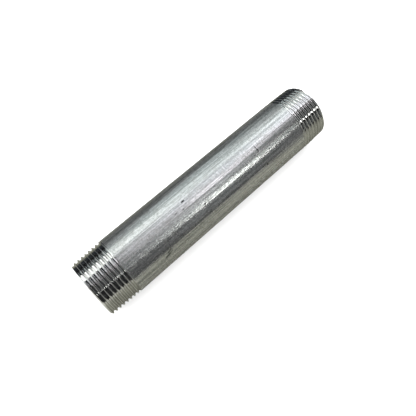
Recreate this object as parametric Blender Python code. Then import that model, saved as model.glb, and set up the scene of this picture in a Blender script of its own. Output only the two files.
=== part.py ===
"""Threaded pipe nipple: one straight length of steel pipe with a right-hand taper pipe thread cut on each end.

Units are metres. The pipe lies along X with the middle of its axis at the origin, and +Z is up. It is made
in the order of the real one: a tube gets a helical groove round each end, and is then turned to its finished
envelope, which faces the ends, chamfers their outer rims and countersinks the bore.
"""

import math

import bmesh
import bpy

MM = 0.001

# The pipe: 3/4 inch nominal bore, schedule 40, 5 inches long.
LENGTH = 127.0 * MM
OUTER_RADIUS = 26.67 / 2 * MM
BORE_RADIUS = OUTER_RADIUS - 2.87 * MM

# The taper thread: 14 threads to the inch with 60 degrees between the flanks, tapering 1 in 16 on the
# diameter. The groove is cut this deep below a crest line, which rises from its radius at the end face. Where
# the crest line passes the pipe's own radius, the crests stay at the pipe's and the groove is less deep.
PITCH = 25.4 / 14 * MM
TAPER = 1 / 16
FLANK_SLOPE = math.tan(math.radians(30))
DEPTH = 0.48 * PITCH
CREST_WIDTH = 0.13 * PITCH
ROOT_HALF_WIDTH = (PITCH - CREST_WIDTH) / 2 - DEPTH * FLANK_SLOPE
END_CREST_RADIUS = OUTER_RADIUS - 0.3 * MM

# Where each end's groove crosses the top of the pipe, in turns from the end face, and how far the thread
# reaches along the pipe. There the groove runs out against a cone with this slope.
NEAR_START = 0.565
FAR_START = 0.191
NEAR_THREAD = 14.9 * MM
FAR_THREAD = 14.5 * MM
RUN_OUT_SLOPE = 1.0

# The finished ends.
RIM_RADIUS = OUTER_RADIUS - 0.93 * MM
COUNTERSINK = 0.4 * MM

# The mesh has this many columns of points round the pipe. They stand off the round surfaces by this ratio, so
# that the flats between them touch those surfaces. One flat is at the bottom, and the pipe rests on it.
COLUMNS = 48
STAND_OFF = 1 / math.cos(math.pi / COLUMNS)

# The tube is longer than the pipe by a stretch at each end, and the envelope's chamfers run out to a larger
# radius than the tube's.
EDGES_PER_TURN = 4
SPARE_TURNS = 3
SPARE_LENGTH = 2.0 * MM
SPARE_RADIUS = 1.0 * MM
MERGE_DISTANCE = 0.01 * MM

STEEL_COLOR = (0.56, 0.57, 0.56, 1.0)
STEEL_ROUGHNESS = 0.32
SHARP_ANGLE = math.radians(24)


def clear_scene():
    for old in list(bpy.data.objects):
        bpy.data.objects.remove(old)


def share_of_turn(column):
    """How far round the pipe a column stands. The flat between the last column and the first is at the top."""
    return (column + 0.5) / COLUMNS


def place(x, radius, share):
    """The point at this share of a turn, counted right-handed about +X from the top of the pipe."""
    angle = 2 * math.pi * share
    return x, -radius * STAND_OFF * math.sin(angle), radius * STAND_OFF * math.cos(angle)


def groove_edges(turn):
    """The groove's edges after this many turns, each as its distance from the end face and its radius."""
    middle = turn * PITCH
    crest_line = END_CREST_RADIUS + middle * TAPER / 2
    crest = min(crest_line, OUTER_RADIUS)
    floor = crest_line - DEPTH
    mouth = ROOT_HALF_WIDTH + (crest - floor) * FLANK_SLOPE
    return [
        (middle - mouth, crest),
        (middle - ROOT_HALF_WIDTH, floor),
        (middle + ROOT_HALF_WIDTH, floor),
        (middle + mouth, crest),
    ]


def held(distance, radius, reach):
    """An edge, raised to the cone that ends the thread. Past either end it gathers at one point of its column."""
    if distance < -SPARE_LENGTH:
        return -SPARE_LENGTH, END_CREST_RADIUS
    if distance > reach:
        return reach, OUTER_RADIUS
    return distance, max(radius, OUTER_RADIUS - (reach - distance) * RUN_OUT_SLOPE)


def add_threaded_end(bm, side, start, reach):
    """The columns of one end's groove, joined by faces. Side is -1 at the near end and 1 at the far end."""
    first = start - SPARE_TURNS
    turns = math.ceil(reach / PITCH - first) + 2
    columns = []
    for column in range(COLUMNS):
        share = share_of_turn(column)
        edges = [edge for turn in range(turns) for edge in groove_edges(first + turn + share)]
        outline = [held(distance, radius, reach) for distance, radius in edges]
        columns.append([bm.verts.new(place(side * (LENGTH / 2 - x), r, -side * share)) for x, r in outline])
    for column, points in enumerate(columns):
        # Where the last column meets the first, each edge goes on as the same edge of the next turn.
        at_seam = column == COLUMNS - 1
        beside = columns[0][EDGES_PER_TURN:] if at_seam else columns[column + 1]
        for row in range(len(beside) - 1):
            bm.faces.new((points[row], beside[row], beside[row + 1], points[row + 1]))
    if side > 0:
        columns.reverse()
    return [points[0] for points in columns], [points[-1] for points in columns]


def add_ring(bm, x, radius):
    return [bm.verts.new(place(x, radius, share_of_turn(column))) for column in range(COLUMNS)]


def add_strip(bm, ring, other):
    for column in range(COLUMNS):
        beside = column - 1
        bm.faces.new((ring[beside], ring[column], other[column], other[beside]))


def finish_mesh(bm, name):
    bmesh.ops.remove_doubles(bm, verts=bm.verts, dist=MERGE_DISTANCE)
    bmesh.ops.recalc_face_normals(bm, faces=bm.faces)
    mesh = bpy.data.meshes.new(name)
    bm.to_mesh(mesh)
    bm.free()
    return mesh


def grooved_tube():
    """A closed tube, longer than the finished pipe, with a helical groove round each end."""
    bm = bmesh.new()
    near_outer, near_inner = add_threaded_end(bm, -1, NEAR_START, NEAR_THREAD)
    far_outer, far_inner = add_threaded_end(bm, 1, FAR_START, FAR_THREAD)
    bore_end = LENGTH / 2 + SPARE_LENGTH
    near_bore = add_ring(bm, -bore_end, BORE_RADIUS)
    far_bore = add_ring(bm, bore_end, BORE_RADIUS)
    rings = [near_inner, far_inner, far_outer, far_bore, near_bore, near_outer]
    for ring, other in ((0, 1), (2, 3), (3, 4), (4, 5)):
        add_strip(bm, rings[ring], rings[other])
    return finish_mesh(bm, "grooved_tube")


def turned_envelope():
    """A solid bar between the end faces, with a chamfer outside each rim and a cone sunk into each face."""
    sink_radius = BORE_RADIUS + COUNTERSINK
    bar_radius = OUTER_RADIUS + SPARE_RADIUS
    chamfer = bar_radius - RIM_RADIUS
    bm = bmesh.new()
    rings = []
    for side in (-1, 1):
        face = side * LENGTH / 2
        outline = [(face - side * chamfer, bar_radius), (face, RIM_RADIUS), (face, sink_radius)]
        end_rings = [add_ring(bm, x, radius) for x, radius in outline]
        for ring, other in zip(end_rings, end_rings[1:]):
            add_strip(bm, ring, other)
        tip = bm.verts.new((face - side * sink_radius, 0.0, 0.0))
        for column in range(COLUMNS):
            bm.faces.new((end_rings[-1][column - 1], end_rings[-1][column], tip))
        rings.append(end_rings[0])
    add_strip(bm, *rings)
    return finish_mesh(bm, "turned_envelope")


def steel():
    material = bpy.data.materials.new("stainless_steel")
    material.use_nodes = True
    shader = material.node_tree.nodes["Principled BSDF"]
    shader.inputs["Base Color"].default_value = STEEL_COLOR
    shader.inputs["Metallic"].default_value = 1.0
    shader.inputs["Roughness"].default_value = STEEL_ROUGHNESS
    return material


def add_object(name, mesh):
    made = bpy.data.objects.new(name, mesh)
    bpy.context.scene.collection.objects.link(made)
    return made


def build_pipe():
    """Cuts the grooved tube to the turned envelope, and leaves the finished pipe as the only object."""
    blank = add_object("blank", grooved_tube())
    envelope = add_object("envelope", turned_envelope())
    turning = blank.modifiers.new("turning", "BOOLEAN")
    turning.operation = "INTERSECT"
    turning.object = envelope
    graph = bpy.context.evaluated_depsgraph_get()
    bm = bmesh.new()
    bm.from_mesh(blank.evaluated_get(graph).to_mesh())
    mesh = finish_mesh(bm, "threaded_pipe")
    mesh.materials.append(steel())
    mesh.shade_smooth()
    mesh.set_sharp_from_angle(angle=SHARP_ANGLE)
    bpy.data.objects.remove(blank)
    bpy.data.objects.remove(envelope)
    return add_object("threaded_pipe", mesh)


def main():
    clear_scene()
    build_pipe()


main()
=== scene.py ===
"""The looks of a threaded pipe nipple: satin walls, bright threads and a dull bore, on a pale floor.

Units are metres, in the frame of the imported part: the pipe lies along X, its axis passes through the
origin, and +Z is up. The near end is the one at -X.
"""

import math
from typing import NamedTuple

import bmesh
import bpy
import numpy as np
from mathutils import Matrix, Vector


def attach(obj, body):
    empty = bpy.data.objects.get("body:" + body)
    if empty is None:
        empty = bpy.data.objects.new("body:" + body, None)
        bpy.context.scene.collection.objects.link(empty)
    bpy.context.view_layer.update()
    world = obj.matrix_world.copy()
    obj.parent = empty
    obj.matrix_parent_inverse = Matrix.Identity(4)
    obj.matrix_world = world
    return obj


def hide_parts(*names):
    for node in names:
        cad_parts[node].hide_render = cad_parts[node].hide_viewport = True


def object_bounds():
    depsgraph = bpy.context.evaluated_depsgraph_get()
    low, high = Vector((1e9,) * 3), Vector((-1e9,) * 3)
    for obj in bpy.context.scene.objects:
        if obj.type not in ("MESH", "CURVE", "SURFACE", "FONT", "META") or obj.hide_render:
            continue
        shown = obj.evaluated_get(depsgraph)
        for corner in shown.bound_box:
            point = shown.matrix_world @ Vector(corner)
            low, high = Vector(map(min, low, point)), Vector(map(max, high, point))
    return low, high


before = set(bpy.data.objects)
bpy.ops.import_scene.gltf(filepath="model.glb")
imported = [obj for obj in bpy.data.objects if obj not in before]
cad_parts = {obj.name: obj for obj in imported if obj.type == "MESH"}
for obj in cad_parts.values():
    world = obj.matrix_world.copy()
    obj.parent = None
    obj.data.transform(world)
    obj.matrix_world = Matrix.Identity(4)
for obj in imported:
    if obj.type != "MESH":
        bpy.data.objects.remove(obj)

MM = 0.001
CAD_NODE = "threaded_pipe"
BODY = "root"

# The pipe's outside comes from the frame. The rest repeats the design of the solid that this mesh refines.
cad_low, cad_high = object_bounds()
LENGTH = cad_high.x - cad_low.x
OUTER_RADIUS = (cad_high.z - cad_low.z) / 2
BORE_RADIUS = OUTER_RADIUS - 2.87 * MM
PITCH = 25.4 / 14 * MM
TAPER = 1 / 16
FLANK_SLOPE = math.tan(math.radians(30))
DEPTH = 0.48 * PITCH
CREST_WIDTH = 0.13 * PITCH
ROOT_HALF_WIDTH = (PITCH - CREST_WIDTH) / 2 - DEPTH * FLANK_SLOPE
END_CREST_RADIUS = OUTER_RADIUS - 0.3 * MM
NEAR_START = 0.565
FAR_START = 0.191
NEAR_THREAD = 14.9 * MM
FAR_THREAD = 14.5 * MM
RUN_OUT_SLOPE = 1.0
RIM_RADIUS = OUTER_RADIUS - 0.93 * MM
COUNTERSINK = 0.4 * MM

# The threaded ends: the side on which each lies, where its groove starts and how far it reaches.
ENDS = ((-1, NEAR_START, NEAR_THREAD), (1, FAR_START, FAR_THREAD))

# How far the corners are rounded, and how far the groove's floor is hollowed.
CREST_ROUNDING = 0.05 * MM
ROOT_ROUNDING = 0.10 * MM
ROOT_HOLLOW = 0.03 * MM
EDGE_ROUNDING = 0.05 * MM

# The weld bead along the bore. Angles round the pipe are right-handed about +X from the top.
WELD_ANGLE = math.radians(150)
WELD_HALF_WIDTH = 1.1 * MM
WELD_HEIGHT = 0.30 * MM

# How finely the pipe is meshed: its columns of points, and how far apart the rows stand along it.
COLUMNS = 216
COLUMN_ANGLES = 2 * math.pi * np.arange(COLUMNS) / COLUMNS
WALL_ROW = 1.5 * MM
MARK_ROW = 0.25 * MM
BORE_ROW = 3.0 * MM
FACE_RINGS = 4
MERGE_DISTANCE = 0.002 * MM

# A face pulls on the normals at its corners by this power of its area.
AREA_POWER = 4

# The camera's angle round the pipe, the lamps' distance from the pipe's axis, and half the floor's width.
VIEW_ANGLE = math.radians(18.86)
LAMP_DISTANCE = 0.6
FLOOR_REACH = 3.0


class Mark(NamedTuple):
    """A dark dent in the wall, with its size, its depth and the middle of it along the pipe.

    Its angle round the pipe is counted from the camera's. It is turned from the pipe's length by another
    angle. Both are in degrees.
    """

    middle: float
    view_angle: float
    half_length: float
    half_width: float
    turn: float
    depth: float


# A pit, two slanted scratches, two faint nicks, a speck, a thin scratch round the pipe, and another speck.
MARKS = [
    Mark(-14.2 * MM, -16.0, 0.80 * MM, 0.50 * MM, 0, 0.12 * MM),
    Mark(-31.6 * MM, 43.0, 2.10 * MM, 0.33 * MM, -14, 0.06 * MM),
    Mark(-30.9 * MM, 37.8, 1.90 * MM, 0.33 * MM, -14, 0.06 * MM),
    Mark(-19.6 * MM, -7.0, 0.45 * MM, 0.18 * MM, 0, 0.03 * MM),
    Mark(-15.8 * MM, -4.5, 0.60 * MM, 0.18 * MM, 0, 0.03 * MM),
    Mark(-7.6 * MM, 13.0, 0.50 * MM, 0.36 * MM, 0, 0.06 * MM),
    Mark(25.6 * MM, -1.0, 0.26 * MM, 2.10 * MM, 0, 0.03 * MM),
    Mark(26.2 * MM, 34.0, 0.50 * MM, 0.42 * MM, 0, 0.06 * MM),
]


# ---------------------------------------------------------------- shape

def soft_max(a, b, rounding):
    """The larger of two heights, with the corner where they cross rounded."""
    return (a + b + np.sqrt((a - b) ** 2 + rounding**2)) / 2


def soft_min(a, b, rounding):
    """The smaller of two heights, rounded in the same way."""
    return -soft_max(-a, -b, rounding)


def turned_from(angle, middle):
    """How far one angle lies from another, the short way round."""
    return (angle - middle + math.pi) % (2 * math.pi) - math.pi


def groove(distance):
    """The crest's radius, the radius of the groove's floor, and half the groove's width at its mouth."""
    crest_line = END_CREST_RADIUS + distance * TAPER / 2
    crest = np.minimum(crest_line, OUTER_RADIUS)
    floor = crest_line - DEPTH
    return crest, floor, ROOT_HALF_WIDTH + (crest - floor) * FLANK_SLOPE


def groove_rows(turn):
    """Distances from a groove's middle to the rows across it, and at last to the middle of the crest.

    The rows lie close beside each corner, so that only the strip between them is rounded.
    """
    mouth = groove(turn * PITCH)[2]
    root = ROOT_HALF_WIDTH
    ahead = [
        root * 0.5,
        root - ROOT_ROUNDING * 0.7,
        root + ROOT_ROUNDING * 0.7,
        (root + mouth) / 2,
        mouth - CREST_ROUNDING,
        mouth + CREST_ROUNDING,
    ]
    rows = [-offset for offset in ahead[::-1]] + [0.0] + ahead + [PITCH / 2]
    return [np.broadcast_to(offset, turn.shape) for offset in rows]


def outer_radius(distance, angle, start, reach):
    """The threaded end's radius at a distance from its end face and an angle round it."""
    phase = (distance / PITCH - start - angle / (2 * math.pi) + 0.5) % 1.0 - 0.5
    crest, floor, mouth = groove(distance)
    below = (mouth - np.abs(phase) * PITCH) / FLANK_SLOPE
    hollow = ROOT_HOLLOW * np.clip(1 - (phase * PITCH / ROOT_HALF_WIDTH) ** 2, 0.0, 1.0)
    below = soft_min(soft_max(below, 0.0, CREST_ROUNDING), crest - floor + hollow, ROOT_ROUNDING)
    chamfer = RIM_RADIUS + distance
    run_out = OUTER_RADIUS - (reach - distance) * RUN_OUT_SLOPE
    radius = soft_min(crest - np.maximum(below, 0.0), chamfer, EDGE_ROUNDING)
    return np.minimum(soft_max(radius, run_out, EDGE_ROUNDING), OUTER_RADIUS)


def dented(x, radius, angle):
    """The wall's radius with its marks sunk in."""
    for mark in MARKS:
        along = x - mark.middle
        across = turned_from(angle, VIEW_ANGLE + math.radians(mark.view_angle)) * OUTER_RADIUS
        turn = math.radians(mark.turn)
        u = (along * math.cos(turn) + across * math.sin(turn)) / mark.half_length
        v = (across * math.cos(turn) - along * math.sin(turn)) / mark.half_width
        radius = radius - mark.depth * np.clip(1 - u**2 - v**2, 0.0, 1.0)
    return radius


def wall_rows(near, far):
    """Where the wall's rings stand: closer together across its marks."""
    rows = list(np.linspace(near, far, math.ceil((far - near) / WALL_ROW) + 1))
    for mark in MARKS:
        reach = mark.half_length + mark.half_width * abs(math.sin(math.radians(mark.turn)))
        close = np.linspace(mark.middle - reach, mark.middle + reach, math.ceil(2 * reach / MARK_ROW) + 1)
        rows = [x for x in rows if abs(x - mark.middle) > reach + MARK_ROW / 2] + list(close)
    return np.array(sorted(rows))


class PipeMesh:
    """Points in columns round the pipe, and the faces between them, with a material for each face."""

    def __init__(self):
        self.points = []
        self.faces = []
        self.materials = []
        self.count = 0

    def add_grid(self, x, radius, angle, materials, seam_shift=0):
        """A grid of points, with the materials of the faces that start at them.

        At the seam the last column meets the first one, shifted by this many rows.
        """
        rows, columns = x.shape
        points = np.stack([x, -radius * np.sin(angle), radius * np.cos(angle)], axis=-1)
        self.points.append(points.reshape(-1, 3))
        index = self.count + np.arange(rows * columns).reshape(rows, columns)
        self.count += rows * columns
        beside = np.roll(index, -1, axis=1)
        if seam_shift:
            beside[:-seam_shift, -1] = index[seam_shift:, 0]
        quads = np.stack([index[:-1], index[1:], beside[1:], beside[:-1]], axis=-1)
        materials = np.broadcast_to(materials, x.shape)
        seam_rows = rows - 1 - seam_shift
        self.faces += [quads[:, :-1].reshape(-1, 4), quads[:seam_rows, -1]]
        self.materials += [materials[:-1, :-1].reshape(-1), materials[:seam_rows, -1]]

    def build(self, name):
        mesh = bpy.data.meshes.new(name)
        mesh.from_pydata(np.concatenate(self.points).tolist(), [], np.concatenate(self.faces).tolist())
        mesh.polygons.foreach_set("material_index", np.concatenate(self.materials))
        bm = bmesh.new()
        bm.from_mesh(mesh)
        bmesh.ops.remove_doubles(bm, verts=bm.verts, dist=MERGE_DISTANCE)
        bmesh.ops.recalc_face_normals(bm, faces=bm.faces)
        bm.to_mesh(mesh)
        bm.free()
        mesh.shade_smooth()
        set_even_normals(mesh)
        return mesh


def set_even_normals(mesh):
    """Normals that follow the largest faces at each point, so that only the narrow strips look rounded."""
    count = len(mesh.polygons)
    area, normal, corners = np.empty(count), np.empty(count * 3), np.empty(count, int)
    mesh.polygons.foreach_get("area", area)
    mesh.polygons.foreach_get("normal", normal)
    mesh.polygons.foreach_get("loop_total", corners)
    point = np.empty(len(mesh.loops), int)
    mesh.loops.foreach_get("vertex_index", point)
    pull = normal.reshape(-1, 3) * ((area / area.max()) ** AREA_POWER)[:, None]
    total = np.zeros((len(mesh.vertices), 3))
    np.add.at(total, point, np.repeat(pull, corners, axis=0))
    smallest = 1e-30
    total /= np.maximum(np.linalg.norm(total, axis=1, keepdims=True), smallest)
    mesh.normals_split_custom_set_from_vertices(total)


# The materials of the pipe's faces, in the order in which main() gives them to the mesh.
WALL, THREAD, CREST, FACE, BORE = range(5)


def add_threaded_end(pipe, side, start, reach):
    """One end's groove and crests. The rows follow the helix, held between the thread's two ends."""
    first = start - 2
    turns = math.ceil(reach / PITCH - first) + 2
    share = np.arange(COLUMNS) / COLUMNS
    turn = (first + np.arange(turns))[:, None] + share[None, :]
    rows = groove_rows(turn)
    distance = turn[:, None, :] * PITCH + np.stack(rows, axis=1)
    distance = np.clip(distance.reshape(-1, COLUMNS), 0.0, reach)
    angle = np.broadcast_to(2 * math.pi * share[None, :], distance.shape)
    radius = outer_radius(distance, angle, start, reach)
    across = np.tile([THREAD] * (len(rows) - 2) + [CREST] * 2, turns)[:, None]
    pipe.add_grid(side * (LENGTH / 2 - distance), radius, -side * angle, across, seam_shift=len(rows))


def add_rings(pipe, x, radius, material):
    """Plain rings of points. X and radius are numbers for each row, or grids."""
    angle = np.broadcast_to(COLUMN_ANGLES, (len(x), COLUMNS))
    x = np.broadcast_to(np.asarray(x, float).reshape(len(x), -1), angle.shape)
    radius = np.broadcast_to(np.asarray(radius, float).reshape(len(x), -1), angle.shape)
    pipe.add_grid(x, radius, angle, material)


def bore_radius(x):
    """The bore's rings: a low weld bead runs along it, and a cone is sunk into each end."""
    away = turned_from(COLUMN_ANGLES, WELD_ANGLE) * BORE_RADIUS
    bead = WELD_HEIGHT * np.clip(1 - (away / WELD_HALF_WIDTH) ** 2, 0.0, 1.0)
    from_end = LENGTH / 2 - np.abs(x)
    plain = (BORE_RADIUS - bead)[None, :]
    sunk = (BORE_RADIUS + COUNTERSINK - from_end)[:, None]
    return soft_max(plain, sunk, EDGE_ROUNDING)


def add_wall(pipe):
    x = wall_rows(NEAR_THREAD - LENGTH / 2, LENGTH / 2 - FAR_THREAD)[:, None]
    add_rings(pipe, x, dented(x, OUTER_RADIUS, COLUMN_ANGLES[None, :]), WALL)


def add_bore(pipe):
    """The bore's rings, which stand close together where the countersinks meet it."""
    sunk = np.array([0.0, 0.5, 0.85, 1.0, 1.15, 1.6]) * COUNTERSINK
    inside = np.linspace(0.0, LENGTH / 2 - 2 * COUNTERSINK, math.ceil(LENGTH / 2 / BORE_ROW))
    far_half = np.concatenate([inside[1:], LENGTH / 2 - sunk[::-1]])
    x = np.concatenate([-far_half[::-1], [0.0], far_half])
    add_rings(pipe, x, bore_radius(x), BORE)


def add_end_face(pipe, side, start, reach):
    """A flat ring from the bore's mouth to the thread's rim."""
    rim = outer_radius(np.zeros(COLUMNS), -side * COLUMN_ANGLES % (2 * math.pi), start, reach)
    x = np.full(FACE_RINGS, side * LENGTH / 2)
    mouth = bore_radius(x)[0]
    across = np.linspace(0.0, 1.0, FACE_RINGS)[:, None]
    add_rings(pipe, x, mouth + (rim - mouth) * across, FACE)


def fine_pipe_mesh():
    pipe = PipeMesh()
    for end in ENDS:
        add_threaded_end(pipe, *end)
    add_wall(pipe)
    add_bore(pipe)
    for end in ENDS:
        add_end_face(pipe, *end)
    return pipe.build("fine_pipe")


# ---------------------------------------------------------------- materials

def mixed_colour(nodes, links, factor, a, b):
    """A colour from a to b. Each is a colour, or the result of another mix."""
    node = nodes.new("ShaderNodeMix")
    node.data_type = "RGBA"
    links.new(factor, node.inputs["Factor"])
    for name, value in (("A", a), ("B", b)):
        socket = next(s for s in node.inputs if s.name == name and s.type == "RGBA")
        if isinstance(value, tuple):
            socket.default_value = (*value, 1.0)
        else:
            links.new(value, socket)
    return next(s for s in node.outputs if s.type == "RGBA")


class Metal:
    """A metal whose colour, roughness and bumps come from nodes that read the place on the pipe."""

    def __init__(self, name, metallic=1.0, anisotropy=0.0):
        self.material = bpy.data.materials.new(name)
        self.material.use_nodes = True
        self.nodes = self.material.node_tree.nodes
        self.links = self.material.node_tree.links
        self.shader = self.nodes["Principled BSDF"]
        self.shader.inputs["Metallic"].default_value = metallic
        self.place = self.nodes.new("ShaderNodeTexCoord").outputs["Object"]
        if anisotropy:
            self.shader.inputs["Anisotropic"].default_value = anisotropy
            self.shader.inputs["Anisotropic Rotation"].default_value = 0.25
            tangent = self.nodes.new("ShaderNodeTangent")
            tangent.direction_type = "RADIAL"
            tangent.axis = "X"
            self.links.new(tangent.outputs["Tangent"], self.shader.inputs["Tangent"])

    def noise(self, along, across, detail=2.0, shift=0.0):
        """Noise with this many grains to a millimetre along the pipe and across it."""
        stretched = self.nodes.new("ShaderNodeMapping")
        stretched.inputs["Location"].default_value = (shift, shift, shift)
        stretched.inputs["Scale"].default_value = (along / MM, across / MM, across / MM)
        self.links.new(self.place, stretched.inputs["Vector"])
        texture = self.nodes.new("ShaderNodeTexNoise")
        texture.inputs["Scale"].default_value = 1.0
        texture.inputs["Detail"].default_value = detail
        self.links.new(stretched.outputs["Vector"], texture.inputs["Vector"])
        return texture.outputs["Fac"]

    def spread(self, value, start, end, low, high):
        """A value that goes from low to high as another goes from start to end."""
        node = self.nodes.new("ShaderNodeMapRange")
        for name, number in zip(("From Min", "From Max", "To Min", "To Max"), (start, end, low, high)):
            node.inputs[name].default_value = number
        self.links.new(value, node.inputs["Value"])
        return node.outputs["Result"]

    def combine(self, operation, a, b):
        """The sum, product or other combination of two values, or of a value and a number."""
        node = self.nodes.new("ShaderNodeMath")
        node.operation = operation
        for socket, value in zip(node.inputs, (a, b)):
            if isinstance(value, (int, float)):
                socket.default_value = value
            else:
                self.links.new(value, socket)
        return node.outputs["Value"]

    def axes(self):
        """The place on the pipe, as its X, Y and Z."""
        node = self.nodes.new("ShaderNodeSeparateXYZ")
        self.links.new(self.place, node.inputs["Vector"])
        return node.outputs

    def length(self, vector):
        node = self.nodes.new("ShaderNodeVectorMath")
        node.operation = "LENGTH"
        self.links.new(vector, node.inputs[0])
        return node.outputs["Value"]

    def total(self, *values):
        result = values[0]
        for value in values[1:]:
            result = self.combine("ADD", result, value)
        return result

    def blend(self, factor, a, b):
        return mixed_colour(self.nodes, self.links, factor, a, b)

    def marks(self, shift):
        """One inside the wall's marks and nought outside them. A value that varies shifts their edges."""
        axes = self.axes()
        angle = self.combine("ARCTAN2", self.combine("MULTIPLY", axes["Y"], -1.0), axes["Z"])
        unrolled = self.nodes.new("ShaderNodeCombineXYZ")
        self.links.new(axes["X"], unrolled.inputs["X"])
        self.links.new(self.combine("MULTIPLY", angle, OUTER_RADIUS), unrolled.inputs["Y"])
        inside = 0.0
        for mark in MARKS:
            # In the mark's own coordinates its outline is a circle with a radius of one.
            own = self.nodes.new("ShaderNodeMapping")
            own.vector_type = "TEXTURE"
            across = (VIEW_ANGLE + math.radians(mark.view_angle)) * OUTER_RADIUS
            own.inputs["Location"].default_value = (mark.middle, across, 0.0)
            own.inputs["Rotation"].default_value = (0.0, 0.0, math.radians(mark.turn))
            own.inputs["Scale"].default_value = (mark.half_length, mark.half_width, 1.0)
            self.links.new(unrolled.outputs["Vector"], own.inputs["Vector"])
            away = self.combine("ADD", self.length(own.outputs["Vector"]), shift)
            inside = self.combine("MAXIMUM", self.spread(away, 1.15, 0.75, 0.0, 1.0), inside)
        return inside

    def bump(self, height, depth, below=None):
        """Normals tilted by a height, which stands this deep where it is one, on top of those below."""
        node = self.nodes.new("ShaderNodeBump")
        node.inputs["Strength"].default_value = 1.0
        node.inputs["Distance"].default_value = depth
        self.links.new(height, node.inputs["Height"])
        if below is not None:
            self.links.new(below, node.inputs["Normal"])
        return node.outputs["Normal"]

    def finish(self, colour, roughness, normal):
        self.links.new(colour, self.shader.inputs["Base Color"])
        self.links.new(roughness, self.shader.inputs["Roughness"])
        self.links.new(normal, self.shader.inputs["Normal"])
        return self.material


def satin_wall():
    """Drawn tube: long streaks along it, crossed by a polishing belt's fine lines, with small dark pits.

    It is smoother on the side that faces -Y.
    """
    metal = Metal("satin_wall", metallic=0.97, anisotropy=0.5)
    bands = metal.noise(0.010, 0.50, detail=2.0)
    streaks = metal.noise(0.016, 1.1, detail=1.0, shift=3.0)
    lines = metal.noise(0.035, 2.0, detail=1.0, shift=13.0)
    belt = metal.noise(1.2, 0.45, detail=2.0, shift=5.0)
    mottle = metal.noise(0.35, 0.40, detail=3.0, shift=7.0)
    grain = metal.noise(1.9, 2.1, detail=2.0, shift=15.0)
    specks = metal.noise(1.3, 1.5, detail=1.0, shift=9.0)
    hairlines = metal.noise(6.0, 0.3, detail=1.0, shift=11.0)
    colour = metal.blend(metal.spread(bands, 0.38, 0.62, 0.0, 1.0), (0.44, 0.46, 0.46), (0.64, 0.64, 0.65))
    colour = metal.blend(metal.spread(streaks, 0.34, 0.50, 0.70, 0.0), colour, (0.29, 0.31, 0.31))
    colour = metal.blend(metal.spread(streaks, 0.50, 0.66, 0.0, 0.6), colour, (0.82, 0.82, 0.82))
    colour = metal.blend(metal.spread(lines, 0.34, 0.48, 0.80, 0.0), colour, (0.28, 0.29, 0.29))
    colour = metal.blend(metal.spread(lines, 0.54, 0.68, 0.0, 0.60), colour, (0.86, 0.86, 0.86))
    colour = metal.blend(metal.spread(belt, 0.52, 0.66, 0.0, 0.35), colour, (0.80, 0.80, 0.80))
    colour = metal.blend(metal.spread(mottle, 0.34, 0.48, 0.30, 0.0), colour, (0.36, 0.35, 0.33))
    colour = metal.blend(metal.spread(grain, 0.36, 0.50, 0.60, 0.0), colour, (0.24, 0.24, 0.23))
    colour = metal.blend(metal.spread(grain, 0.52, 0.64, 0.0, 0.25), colour, (0.85, 0.85, 0.84))
    colour = metal.blend(metal.spread(specks, 0.24, 0.34, 0.75, 0.0), colour, (0.16, 0.16, 0.15))
    marks = metal.marks(metal.spread(grain, 0.3, 0.7, -0.35, 0.35))
    colour = metal.blend(metal.combine("MULTIPLY", marks, 0.95), colour, (0.04, 0.04, 0.04))
    roughness = metal.total(
        metal.spread(metal.axes()["Y"], -6.5 * MM, -1.0 * MM, 0.25, 0.34),
        metal.spread(streaks, 0.3, 0.7, 0.03, -0.03),
        metal.spread(mottle, 0.3, 0.7, 0.03, -0.02),
    )
    normal = metal.bump(bands, 0.05 * MM)
    normal = metal.bump(streaks, 0.035 * MM, normal)
    normal = metal.bump(lines, 0.010 * MM, normal)
    normal = metal.bump(belt, 0.035 * MM, normal)
    normal = metal.bump(mottle, 0.04 * MM, normal)
    normal = metal.bump(grain, 0.015 * MM, normal)
    normal = metal.bump(hairlines, 0.004 * MM, normal)
    return metal.finish(colour, roughness, normal)


def cut_thread():
    """Freshly cut flanks and roots: bright, with the fine lines of the cutting tool round them."""
    metal = Metal("cut_thread")
    lines = metal.noise(9.0, 0.10, detail=1.0)
    chatter = metal.noise(0.6, 0.9, detail=2.0, shift=4.0)
    stains = metal.noise(0.25, 0.35, detail=2.0, shift=8.0)
    colour = metal.blend(metal.spread(stains, 0.40, 0.66, 0.0, 1.0), (0.74, 0.74, 0.74), (0.60, 0.60, 0.595))
    colour = metal.blend(metal.spread(lines, 0.30, 0.45, 0.5, 0.0), colour, (0.40, 0.40, 0.39))
    roughness = metal.total(
        metal.spread(stains, 0.3, 0.7, 0.045, 0.085),
        metal.spread(lines, 0.3, 0.7, 0.0, 0.03),
    )
    normal = metal.bump(chatter, 0.005 * MM)
    normal = metal.bump(lines, 0.0015 * MM, normal)
    return metal.finish(colour, roughness, normal)


def worn_crest():
    """The drawn surface that is left on top of the thread, rubbed pale, with small nicks."""
    metal = Metal("worn_crest")
    nicks = metal.noise(0.9, 1.1, detail=3.0)
    rub = metal.noise(0.3, 0.25, detail=2.0, shift=6.0)
    colour = metal.blend(metal.spread(rub, 0.35, 0.65, 0.0, 1.0), (0.60, 0.61, 0.60), (0.78, 0.78, 0.77))
    colour = metal.blend(metal.spread(nicks, 0.26, 0.36, 0.8, 0.0), colour, (0.30, 0.30, 0.29))
    roughness = metal.spread(rub, 0.3, 0.7, 0.36, 0.26)
    return metal.finish(colour, roughness, metal.bump(nicks, 0.015 * MM))


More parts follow.
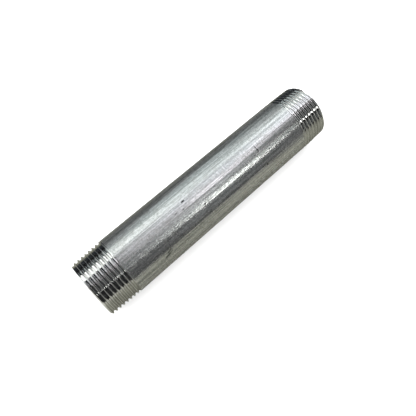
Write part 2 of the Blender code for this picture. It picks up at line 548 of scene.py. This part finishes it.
def turned_face():
    """The cut-off ends, with the rings that a facing tool leaves."""
    metal = Metal("turned_face")
    flat = metal.nodes.new("ShaderNodeVectorMath")
    flat.operation = "MULTIPLY"
    flat.inputs[1].default_value = (0.0, 1.0, 1.0)
    metal.links.new(metal.place, flat.inputs[0])
    texture = metal.nodes.new("ShaderNodeTexNoise")
    texture.noise_dimensions = "1D"
    texture.inputs["Scale"].default_value = 5.0 / MM
    metal.links.new(metal.length(flat.outputs["Vector"]), texture.inputs["W"])
    rings = texture.outputs["Fac"]
    wear = metal.noise(0.4, 0.5, detail=3.0)
    colour = metal.blend(metal.spread(wear, 0.35, 0.65, 0.0, 1.0), (0.50, 0.50, 0.49), (0.66, 0.66, 0.65))
    colour = metal.blend(metal.spread(rings, 0.35, 0.5, 0.35, 0.0), colour, (0.38, 0.38, 0.37))
    roughness = metal.total(
        metal.spread(wear, 0.3, 0.7, 0.20, 0.30),
        metal.spread(rings, 0.3, 0.7, 0.0, 0.05),
    )
    normal = metal.bump(rings, 0.012 * MM)
    return metal.finish(colour, roughness, metal.bump(wear, 0.01 * MM, normal))


def dull_bore():
    """The inside as it was drawn and welded: matt and grey, streaked along its length."""
    metal = Metal("dull_bore")
    streaks = metal.noise(0.03, 0.6, detail=3.0)
    scale = metal.noise(0.5, 0.5, detail=4.0, shift=5.0)
    colour = metal.blend(metal.spread(streaks, 0.35, 0.65, 0.0, 1.0), (0.30, 0.30, 0.29), (0.46, 0.46, 0.45))
    colour = metal.blend(metal.spread(scale, 0.48, 0.66, 0.0, 0.6), colour, (0.24, 0.23, 0.21))
    roughness = metal.total(
        metal.spread(streaks, 0.3, 0.7, 0.38, 0.48),
        metal.spread(scale, 0.3, 0.7, 0.0, 0.12),
    )
    normal = metal.bump(streaks, 0.05 * MM)
    return metal.finish(colour, roughness, metal.bump(scale, 0.02 * MM, normal))


# ---------------------------------------------------------------- studio

def add_floor():
    """A pale floor. Glossy rays see a darker one, with another shade past each end and behind the pipe."""
    mesh = bpy.data.meshes.new("floor")
    bm = bmesh.new()
    bmesh.ops.create_grid(bm, x_segments=1, y_segments=1, size=FLOOR_REACH)
    bm.to_mesh(mesh)
    bm.free()
    floor = bpy.data.objects.new("floor", mesh)
    floor.location.z = cad_low.z
    bpy.context.scene.collection.objects.link(floor)
    material = bpy.data.materials.new("pale_floor")
    material.use_nodes = True
    nodes, links = material.node_tree.nodes, material.node_tree.links
    shader = nodes["Principled BSDF"]
    shader.inputs["Roughness"].default_value = 0.9
    shader.inputs["Specular IOR Level"].default_value = 0.0
    place = nodes.new("ShaderNodeSeparateXYZ")
    links.new(nodes.new("ShaderNodeTexCoord").outputs["Object"], place.inputs["Vector"])
    # Painted reflection: glossy rays see these colours, not the pale floor; darker behind the pipe.
    shade = (0.155, 0.155, 0.127)
    # Each region begins at one place on its axis, and its colour is full at the next.
    regions = [
        ("X", -0.070, -0.110, (0.380, 0.380, 0.345)),
        ("X", 0.075, 0.110, (0.105, 0.106, 0.094)),
        ("Y", 0.035, 0.055, (0.014, 0.016, 0.018)),
    ]
    for axis, start, end, colour in regions:
        reached = nodes.new("ShaderNodeMapRange")
        reached.inputs["From Min"].default_value = start
        reached.inputs["From Max"].default_value = end
        links.new(place.outputs[axis], reached.inputs["Value"])
        shade = mixed_colour(nodes, links, reached.outputs["Result"], shade, colour)
    path = nodes.new("ShaderNodeLightPath")
    colour = mixed_colour(nodes, links, path.outputs["Is Glossy Ray"], (0.9, 0.9, 0.9), shade)
    links.new(colour, shader.inputs["Base Color"])
    mesh.materials.append(material)


def add_softbox(name, view_angle, width, length, middle_x, radiance, tint):
    """A rectangular lamp parallel to the pipe. The angle is counted round the pipe from the camera's."""
    data = bpy.data.lights.new(name, "AREA")
    data.shape = "RECTANGLE"
    data.size, data.size_y = length, width
    data.color = tint
    data.energy = radiance * math.pi * length * width
    lamp = bpy.data.objects.new(name, data)
    angle = VIEW_ANGLE + math.radians(view_angle)
    away = Vector((0.0, -math.sin(angle), math.cos(angle)))
    along = Vector((1.0, 0.0, 0.0))
    turn = Matrix((along, away.cross(along), away)).transposed()
    lamp.matrix_world = Matrix.Translation(away * LAMP_DISTANCE + along * middle_x) @ turn.to_4x4()
    lamp.visible_camera = False
    bpy.context.scene.collection.objects.link(lamp)


def add_lamps():
    """Lamps for the pipe's bands, from its upper edge in the picture to its lower one."""
    add_softbox("edge_strip", -84, 0.23, 0.25, 0.155, 1.12, (0.88, 1.00, 1.00))
    add_softbox("near_strip", -57, 0.29, 0.56, -0.330, 2.8, (0.99, 1.00, 0.96))
    add_softbox("bright_strip", -58, 0.31, 0.35, 0.125, 1.07, (0.89, 1.00, 0.99))
    add_softbox("far_strip", -52.5, 0.20, 0.70, 0.650, 2.1, (0.94, 1.00, 0.98))
    add_softbox("middle_panel", -31, 0.25, 0.50, 0.35, 2.2, (0.93, 0.95, 1.00))
    add_softbox("step_panel", -14, 0.18, 0.15, 0.185, 3.0, (0.99, 0.95, 0.99))
    add_softbox("near_panel", 10, 0.24, 0.12, 0.04, 0.22, (0.95, 0.99, 1.00))
    add_softbox("low_panel", 6, 0.28, 0.15, 0.175, 0.87, (0.95, 0.99, 0.99))
    add_softbox("lamp", 25, 0.06, 0.145, 0.2225, 9.8, (0.98, 1.00, 0.96))
    add_softbox("dim_panel", 50, 0.24, 0.24, 0.22, 0.18, (0.93, 1.00, 0.98))


def add_world():
    """A white world. Glossy rays see a dark one, with a glow towards -X."""
    world = bpy.data.worlds.new("studio")
    world.use_nodes = True
    bpy.context.scene.world = world
    nodes, links = world.node_tree.nodes, world.node_tree.links
    path = nodes.new("ShaderNodeLightPath")
    pale = nodes["Background"]
    pale.inputs["Color"].default_value = (1.0, 1.0, 1.0, 1.0)
    pale.inputs["Strength"].default_value = 1.9
    direction = nodes.new("ShaderNodeSeparateXYZ")
    links.new(nodes.new("ShaderNodeTexCoord").outputs["Generated"], direction.inputs["Vector"])
    towards_glow = nodes.new("ShaderNodeMapRange")
    towards_glow.inputs["From Min"].default_value = -0.55
    towards_glow.inputs["From Max"].default_value = -0.85
    links.new(direction.outputs["X"], towards_glow.inputs["Value"])
    dark, glow = (0.012, 0.012, 0.013), (0.30, 0.30, 0.29)
    dim = nodes.new("ShaderNodeBackground")
    links.new(mixed_colour(nodes, links, towards_glow.outputs["Result"], dark, glow), dim.inputs["Color"])
    mix = nodes.new("ShaderNodeMixShader")
    links.new(path.outputs["Is Glossy Ray"], mix.inputs["Fac"])
    links.new(pale.outputs["Background"], mix.inputs[1])
    links.new(dim.outputs["Background"], mix.inputs[2])
    links.new(mix.outputs["Shader"], nodes["World Output"].inputs["Surface"])


def add_camera():
    """Above the near end, looking down on the pipe with its far end away to the upper right."""
    data = bpy.data.cameras.new("camera")
    data.sensor_width = 36.0
    data.lens = 37.96
    camera = bpy.data.objects.new("camera", data)
    place = Vector((-0.05543, -0.06007, 0.17590))
    ahead = Vector((0.2658, 0.2847, -0.9210))
    camera.matrix_world = Matrix.Translation(place) @ ahead.to_track_quat("-Z", "Y").to_matrix().to_4x4()
    data.clip_start = 0.005
    bpy.context.scene.collection.objects.link(camera)
    bpy.context.scene.camera = camera


def main():
    mesh = fine_pipe_mesh()
    pipe = bpy.data.objects.new("steel_pipe", mesh)
    bpy.context.scene.collection.objects.link(pipe)
    for material in (satin_wall(), cut_thread(), worn_crest(), turned_face(), dull_bore()):
        mesh.materials.append(material)
    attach(pipe, BODY)
    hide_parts(CAD_NODE)
    add_floor()
    add_lamps()
    add_world()
    add_camera()
    bpy.context.scene.view_settings.view_transform = "Standard"


main()
